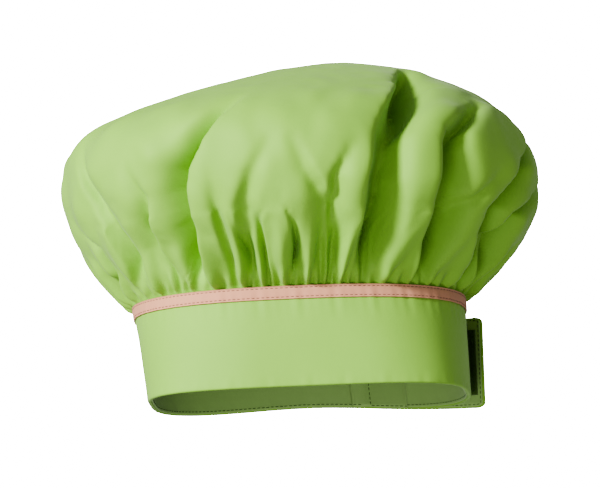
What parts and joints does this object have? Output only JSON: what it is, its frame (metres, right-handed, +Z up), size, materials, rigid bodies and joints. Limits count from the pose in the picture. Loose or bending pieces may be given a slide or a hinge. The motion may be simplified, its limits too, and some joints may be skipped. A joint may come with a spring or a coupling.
{
  "type": "chef toque",
  "caption": "Puffy chef's hat: a round of cloth gathered into a stand-up headband, with a contrast tape over the seam and a hook-and-loop tail that closes the band.",
  "frame": {"origin": "on the plane the hat rests on, under the middle of the crown's outline", "axes": "+Z up through the crown, +X towards the closure at the back of the head, -Y the unbroken side of the band"},
  "size_m": [0.29, 0.26, 0.205],
  "materials": {
    "cloth": "plain polycotton weave, matte",
    "lining_cloth": "plain polycotton weave, matte",
    "interlining": "stiff non-woven",
    "tape_cloth": "twill tape with a slight sheen",
    "tape_thread": "twisted polyester thread",
    "green_thread": "twisted polyester thread",
    "hook_and_loop": "nylon pile"
  },
  "bodies": {
    "hat": {"crown": "cloth", "band_outer": "cloth", "band_interlining": "interlining", "band_lining": "lining_cloth", "contrast_tape": "tape_cloth", "tape_upper_stitch": "tape_thread", "tape_lower_stitch": "tape_thread", "hem_stitch": "green_thread", "gathering_thread": "green_thread", "crown_hem_stitch": "green_thread", "end_stitch": "green_thread", "loop_strip": "hook_and_loop", "loop_strip_stitch": "green_thread"},
    "tail": {"tail_outer": "cloth", "tail_interlining": "interlining", "tail_lining": "lining_cloth", "tail_edge_stitch": "green_thread", "hook_strip": "hook_and_loop", "hook_strip_stitch": "green_thread"}
  },
  "joints": [
    {"name": "tail_fold", "type": "hinge", "parent": "hat", "child": "tail", "pos_m": [0.02808, 0.07323, 0.03], "axis": [0, 0, 1], "range_deg": [-12, 65]}
  ]
}
